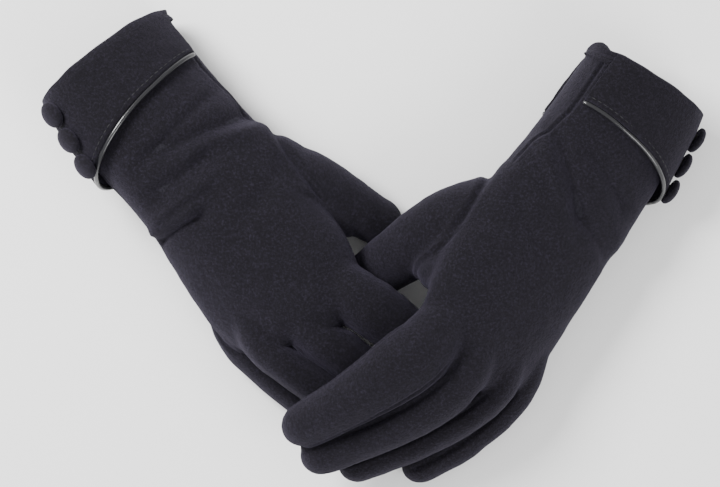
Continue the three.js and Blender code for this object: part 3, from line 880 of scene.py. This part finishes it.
def band_low(angle, v):
    """How far the flap's underside stands off the hand, at v from 0 at the mouth to 1 at its edge."""
    lift = 0.35 + 0.65 * np.maximum(0, -np.cos(np.radians(angle)))
    return BAND_GAP + BAND_FLARE * v * v * lift


def resting_floor(offset):
    """The lowest a layer may hang at this offset from the hand's skin, above the table."""
    offset = np.asarray(offset, float)
    return np.where(offset > 0, np.maximum(0.05, HAND_FLOOR * (1 - offset / 2.35)), HAND_FLOOR - offset)


def ripple(angle, seed):
    """A slow wave round the cuff, from -1 to 1."""
    turn = np.radians(angle)
    return (np.sin(3 * turn + seed) + 0.7 * np.sin(7 * turn + 2.1 * seed) +
            0.5 * np.sin(13 * turn + 0.7 * seed)) / 2.2


def cuff_profile(angle, outside, flap, seed, flare):
    """One closed section through the turned-back cuff, as (s, offset) points.

    It runs from the free edge, which lies at outside, over the flap to the mouth, round the hem
    inside, and back along the flap's underside. Flap is its thickness, and flare how far the mouth
    reaches out at the flap's corner.
    """
    top = mouth_shift(angle, 0.0) + 0.5 * ripple(angle, seed)
    top -= flare * math.exp(-(turn_from(angle, CORNER_ANGLE) / 15) ** 2)
    shares = np.linspace(1, 0.08, 14)
    low = [(top + (outside - top) * v, band_low(angle, v) + FLAP_GAP) for v in shares]
    high = [(s, offset + flap) for s, offset in low[::-1]]
    puff = [(s, offset + 0.5 * math.sin(math.pi * i / 13) + 0.25 * ripple(angle * 1.3 + i * 9, seed))
            for i, (s, offset) in enumerate(high)]
    fold = [(top - 1.6, 1.3), (top - 2.3, 0.0), (top - 2.3, -2.2), (top - 1.5, -4.2)]
    inside = [(top + 1, -5.0), (top + 5, -5.0), (top + 10, -4.9), (top + 10.6, -4.4),
              (top + 10, -3.7), (top + 5, -3.3), (top + 1, -3.1), (top - 0.2, -2.6)]
    return puff[::-1] + fold + inside + [(top - 0.5, -1.0), (top + 0.3, 0.2)] + low[::-1]


def cuff_sheet(name, limb, first, last, outside, flap, seed, flare):
    """The turned-back cuff between two angles, as one closed thick sheet."""
    rows = []
    for angle in np.linspace(first, last, max(8, int(abs(last - first) / 1.6))):
        profile = np.array(cuff_profile(angle, outside(angle), flap, seed, flare), float)
        rows.append(limb.skin(profile[:, 0], np.full(len(profile), angle), profile[:, 1],
                              floor=resting_floor(profile[:, 1])))
    return new_object(name, *closed_stack(rows, limb.thumbward < 0))


def swept(path, radius, sides):
    """A closed round cord through path; radius may differ from point to point."""
    path = np.asarray(path, float)
    radius = np.broadcast_to(radius, len(path))
    along = unit(np.gradient(path, axis=0))
    across = unit(np.cross(along, np.array([0.13, 0.21, 1.0])))
    up = np.cross(across, along)
    strands = []
    for turn in np.arange(sides) * 2 * math.pi / sides:
        strands.append(path + radius[:, None] * (across * math.cos(turn) + up * math.sin(turn)))
    return closed_stack(np.stack(strands, axis=1))


def stitches(path, length, gap, radius):
    """Short thread stitches along a path, each a tapered cord sunk at its ends."""
    path = np.asarray(path, float)
    steps = np.linalg.norm(np.diff(path, axis=0), axis=1)
    run = np.concatenate([[0], np.cumsum(steps)])
    parts = []
    for start in np.arange(0, run[-1] - length, length + gap):
        at = start + np.linspace(0, length, 6)
        points = np.stack([np.interp(at, run, path[:, k]) for k in range(3)], axis=1)
        taper = radius * np.sin(np.linspace(0.25, math.pi - 0.25, 6))
        parts.append(swept(points, taper, STITCH_SIDES))
    return join_parts(parts)


def button_place(limb, s):
    """(base point, outward direction) of a button on the cuff flap."""
    v = s / float(band_edge(BUTTON_ANGLE))
    offset = float(band_low(BUTTON_ANGLE, v)) + BAND_THICKNESS
    base = limb.skin(s, BUTTON_ANGLE, offset)[0]
    across = limb.skin(s, BUTTON_ANGLE - 1)[0] - limb.skin(s, BUTTON_ANGLE + 1)[0]
    outward = np.cross(across, limb.frames(s).along[0]) * -limb.thumbward
    return base, outward / np.linalg.norm(outward)


def turned(profile, base, outward, sides, wave=None):
    """A lathe shape standing at base along outward, from (radius, height) points."""
    first = unit(np.cross(outward, np.array([0.3, 0.1, 1.0])))
    second = np.cross(outward, first)
    turns = np.arange(sides) * 2 * math.pi / sides
    rows = []
    for radius, height in profile:
        reach = radius * (1 + (wave(turns, height) if wave else 0))
        rows.append(base + outward * height + np.outer(reach * np.cos(turns), first) +
                    np.outer(reach * np.sin(turns), second))
    return closed_stack(rows)


def button_shape(base, outward):
    """A domed button covered in the glove's cloth, gathered underneath."""
    lift, rim = 0.9, 1.5
    dome = [(BUTTON_RADIUS * math.cos(a), lift + rim + (BUTTON_HEIGHT - rim) * math.sin(a))
            for a in np.radians(np.linspace(0, 88, 14))]
    under = [(BUTTON_RADIUS * 0.42, lift + 0.5), (BUTTON_RADIUS * 0.62, lift + 0.1),
             (BUTTON_RADIUS * 0.86, lift + 0.15), (BUTTON_RADIUS * 0.97, lift + 0.7)]

    def gathers(turns, height):
        share = max(0, 1 - (height - lift) / 2.2)
        return 0.035 * share * np.sin(14 * turns) + 0.006 * np.sin(3 * turns + 1)
    return turned(under + dome, base, outward, BUTTON_SIDES, gathers)


def shank_shape(base, outward):
    """Turns of thread wound under a button."""
    profile = []
    for coil in range(4):
        for a in np.radians([-60, 0, 60]):
            profile.append((2.3 + 0.35 * math.cos(a), 0.2 + coil * 0.42 + 0.2 * math.sin(a)))
    return turned([(0.4, 0.05)] + profile + [(0.4, 1.7)], base, outward, SHANK_SIDES)


# ---- the gloves -------------------------------------------------------------------------------
FOURCHETTES = {
    "thumb": [],
    "index": ["fourchette"],
    "middle": ["fourchette_thumb_side", "fourchette_little_side"],
    "ring": ["fourchette_thumb_side", "fourchette_little_side"],
    "little": ["fourchette"],
}
BLEND_LENGTH = 14
RIPPLE_SEED = {"right": 1.0, "left": 2.6}
HEM_DEPTH = 2.2
HEM_THICKNESS = 0.05


def blend_ends(side, name, limb, border):
    """Where a digit's bend starts and ends: past every point of its border with other pieces."""
    if name == "thumb":
        origin, direction = seam_plane(side)
        middle = limb.skin(30, 0, 0, 0)[0]
        base = middle - direction * ((middle - origin) @ direction)
    else:
        at = limb.frames(limb.root)
        base, direction = at.centre[0], at.along[0]
    reach = ((border - base) @ direction).max() + 0.3
    start = base + direction * reach
    return start * MM, (start + direction * BLEND_LENGTH) * MM


def build_skin(side, limbs):
    """The hand's piece and the five digits'. Returns where each digit's bend starts and ends."""
    points, quads, owner = glove_skin(side, limbs)
    normals = normals_of(points, quads)
    face_owner = np.sort(owner[quads], axis=1)[:, 1]
    body = f"{side}_hand"
    bends = {}
    hand = cut_piece(f"{side}_glove_hand", points, quads, normals, face_owner == 0)
    dressed(hand, "shell")
    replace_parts(hand, f"{side}_back_panel", f"{side}_palm_panel")
    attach(hand, body)
    for i, name in enumerate(DIGIT_NAMES, start=1):
        mine = face_owner == i
        piece = cut_piece(f"{side}_glove_{name}", points, quads, normals, mine)
        shared = np.intersect1d(np.unique(quads[mine]), np.unique(quads[~mine]))
        start, end = blend_ends(side, name, limbs[name], points[shared])
        dressed(piece, "shell")
        inner = [f"{side}_{name}_shell", f"{side}_{name}_lining"]
        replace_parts(piece, *inner, *(f"{side}_{name}_{part}" for part in FOURCHETTES[name]))
        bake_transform(piece)
        bends[name] = (start, end)
    return bends


def build_flap(side, limb):
    """The turned-back flap, and the hem of the mouth where there is no flap."""
    body = f"{side}_hand"
    seed, flare = RIPPLE_SEED[side], CORNER_FLARE[side]
    band = cuff_sheet(f"{side}_cuff_flap", limb, BAND_START, 360 - BAND_START, band_edge,
                      FLAP_THICKNESS, seed, flare)
    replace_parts(dressed(band, "band"), f"{side}_cuff_band")
    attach(band, body)
    hem = cuff_sheet(f"{side}_mouth_hem", limb, -BAND_START, BAND_START - 0.6,
                     lambda angle: HEM_DEPTH, HEM_THICKNESS, seed, flare)
    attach(dressed(hem, "band"), body)


def build_piping(side, limb, angles):
    """The leather piping along the flap's free edge, tapered at both ends."""
    standoff = PIPING_RADIUS + 0.1
    middle = band_low(angles, 1.0) + 1.0
    floor = np.full(len(angles), standoff)
    path = limb.skin(band_edge(angles) + standoff, angles, middle, floor=floor)
    ends = np.minimum(1, np.sin(np.linspace(0.02, math.pi - 0.02, len(angles))) * 25)
    unevenness = 1 + 0.03 * ripple(angles * 3.1, RIPPLE_SEED[side])
    radius = PIPING_RADIUS * (0.4 + 0.6 * ends) * unevenness
    piping = new_object(f"{side}_leather_piping", *swept(path, radius, PIPING_SIDES))
    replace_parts(dressed(piping, "piping"), f"{side}_cuff_piping")
    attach(piping, f"{side}_hand")


def build_topstitch(side, limb, angles):
    """The row of stitches on the flap, just inside the piping."""
    run = band_edge(angles) - 2.6
    surface = band_low(angles, run / band_edge(angles)) + FLAP_GAP + FLAP_THICKNESS + 0.12
    line = limb.skin(run, angles, surface, floor=resting_floor(surface) + 0.05)
    thread = new_object(f"{side}_cuff_topstitch", *stitches(line[4:-4], 2.3, 0.9, 0.26))
    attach(dressed(thread, "thread"), f"{side}_hand")


def build_buttons(side, limb):
    """Three cloth-covered buttons in a row on the flap, each on its thread shank."""
    body = f"{side}_hand"
    for i, s in enumerate(BUTTON_STATIONS, start=1):
        base, outward = button_place(limb, s)
        cap = new_object(f"{side}_cloth_button_{i}", *button_shape(base, outward))
        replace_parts(dressed(cap, "button"), f"{side}_button_{i}")
        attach(cap, body)
        shank = new_object(f"{side}_button_thread_{i}", *shank_shape(base, outward))
        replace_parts(dressed(shank, "thread"), f"{side}_button_shank_{i}")
        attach(shank, body)


def build_lining(side, limb):
    """The plush inside of the hand, from the mouth to the knuckles."""
    rings = [(s, 1.0, 0.0) for s in np.arange(0.8, limb.length - 16, 2.0)]
    rings += [(s - 6, share, 0.0) for s, share, _ in rounded_end(limb.length, 9)]
    points, faces = tube(limb, rings, LINING_SIDES, -LINING_DEPTH, hand_shift(limb), open_start=True)
    lining = new_object(f"{side}_plush_lining", points, faces)
    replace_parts(dressed(lining, "lining"), f"{side}_hand_lining")
    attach(lining, f"{side}_hand")


def pad_surface(limb, share, offset):
    """A ring of a touch pad: share 0 is its middle and 1 its border."""
    end = limb.length - PAD_TIP_MARGIN
    turns = np.linspace(0, 2 * math.pi, PAD_SIDES, endpoint=False)
    cosine, sine = np.cos(turns), np.sin(turns)
    x = np.sign(cosine) * np.abs(cosine) ** 0.55 * share
    y = np.sign(sine) * np.abs(sine) ** 0.55 * share
    s = end - PAD_LENGTH / 2 + y * PAD_LENGTH / 2
    return limb.skin(s, PALM_ANGLE + x * PAD_HALF_ANGLE, offset, floor=limb.floor - offset)


def build_pad(side, name, limb):
    """A touch pad of conductive knit sewn to the palm side of a fingertip."""
    top = [(share, PAD_THICKNESS) for share in (0.04, 0.3, 0.55)]
    edge = [(0.78, 0.69), (0.92, 0.62), (0.985, 0.4), (1.0, 0.1)]
    under = [(share, PAD_SUNK) for share in (0.9, 0.5, 0.04)]
    rings = [pad_surface(limb, share, offset) for share, offset in top + edge + under]
    pad = new_object(f"{side}_{name}_touch_patch", *closed_stack(rings, limb.thumbward < 0))
    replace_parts(dressed(pad, "pad"), f"{side}_{name}_touch_pad")
    border = pad_surface(limb, 0.86, 0.72)
    thread = new_object(f"{side}_{name}_patch_stitch",
                        *stitches(np.vstack([border, border[:1]]), 1.6, 0.6, 0.16))
    dressed(thread, "thread")
    for made in (pad, thread):
        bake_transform(made)


def build_glove(side):
    """One whole glove: skin, cuff, lining and touch pads."""
    limbs = make_limbs(side)
    hand = limbs["hand"]
    bends = build_skin(side, limbs)
    build_flap(side, hand)
    angles = np.linspace(BAND_START + 0.5, 359.5 - BAND_START, 240)
    build_piping(side, hand, angles)
    build_topstitch(side, hand, angles)
    build_buttons(side, hand)
    build_lining(side, hand)
    for name in ("thumb", "index"):
        build_pad(side, name, limbs[name])


for side in ("right", "left"):
    build_glove(side)


# ---- room, light and camera -------------------------------------------------------------------
FLOOR_HALF = 1500
FLOOR_TOP = -0.2
SENSOR_WIDTH = 36
VIEW_DISTANCE = 2000
VIEW_WIDTH = 342.9
VIEW_CENTRE = (-7.41, 1.88)
VIEW_HEIGHT = 30


def make_stage():
    """A pale level floor just under the gloves."""
    corners = [(-FLOOR_HALF, -FLOOR_HALF), (FLOOR_HALF, -FLOOR_HALF), (FLOOR_HALF, FLOOR_HALF),
               (-FLOOR_HALF, FLOOR_HALF)]
    floor = new_object("floor", [(x, y, FLOOR_TOP) for x, y in corners], [[0, 1, 2, 3]])
    material, _, _, shader = new_material("pale_floor")
    shader.inputs["Base Color"].default_value = (0.97, 0.97, 0.97, 1)
    shader.inputs["Roughness"].default_value = 0.9
    floor.data.materials.append(material)


def area_light(name, place, size, power):
    """A round soft light at a place in metres, aimed at the gloves."""
    data = bpy.data.lights.new(name, "AREA")
    data.shape = "DISK"
    data.size = size
    data.energy = power
    lamp = bpy.data.objects.new(name, data)
    lamp.location = place
    lamp.rotation_euler = (-Vector(place)).to_track_quat("-Z", "Y").to_euler()
    bpy.context.scene.collection.objects.link(lamp)


def make_light():
    """A white room with a key light from the upper left and a wide fill from the lower right."""
    world = bpy.data.worlds.new("studio")
    world.use_nodes = True
    background = world.node_tree.nodes["Background"]
    background.inputs["Color"].default_value = (1, 1, 1, 1)
    background.inputs["Strength"].default_value = 0.85
    bpy.context.scene.world = world
    area_light("key", (-0.75, 0.55, 0.85), 0.5, 30)
    area_light("fill", (0.7, -0.8, 0.8), 0.8, 13)


def make_camera():
    """A camera straight above, which sees VIEW_WIDTH millimetres at a height of VIEW_HEIGHT."""
    data = bpy.data.cameras.new("camera")
    data.sensor_width = SENSOR_WIDTH
    data.lens = SENSOR_WIDTH * VIEW_DISTANCE / VIEW_WIDTH
    camera = bpy.data.objects.new("camera", data)
    x, y = VIEW_CENTRE
    camera.location = (x * MM, y * MM, (VIEW_DISTANCE + VIEW_HEIGHT) * MM)
    bpy.context.scene.collection.objects.link(camera)
    bpy.context.scene.camera = camera


make_stage()
make_light()
make_camera()
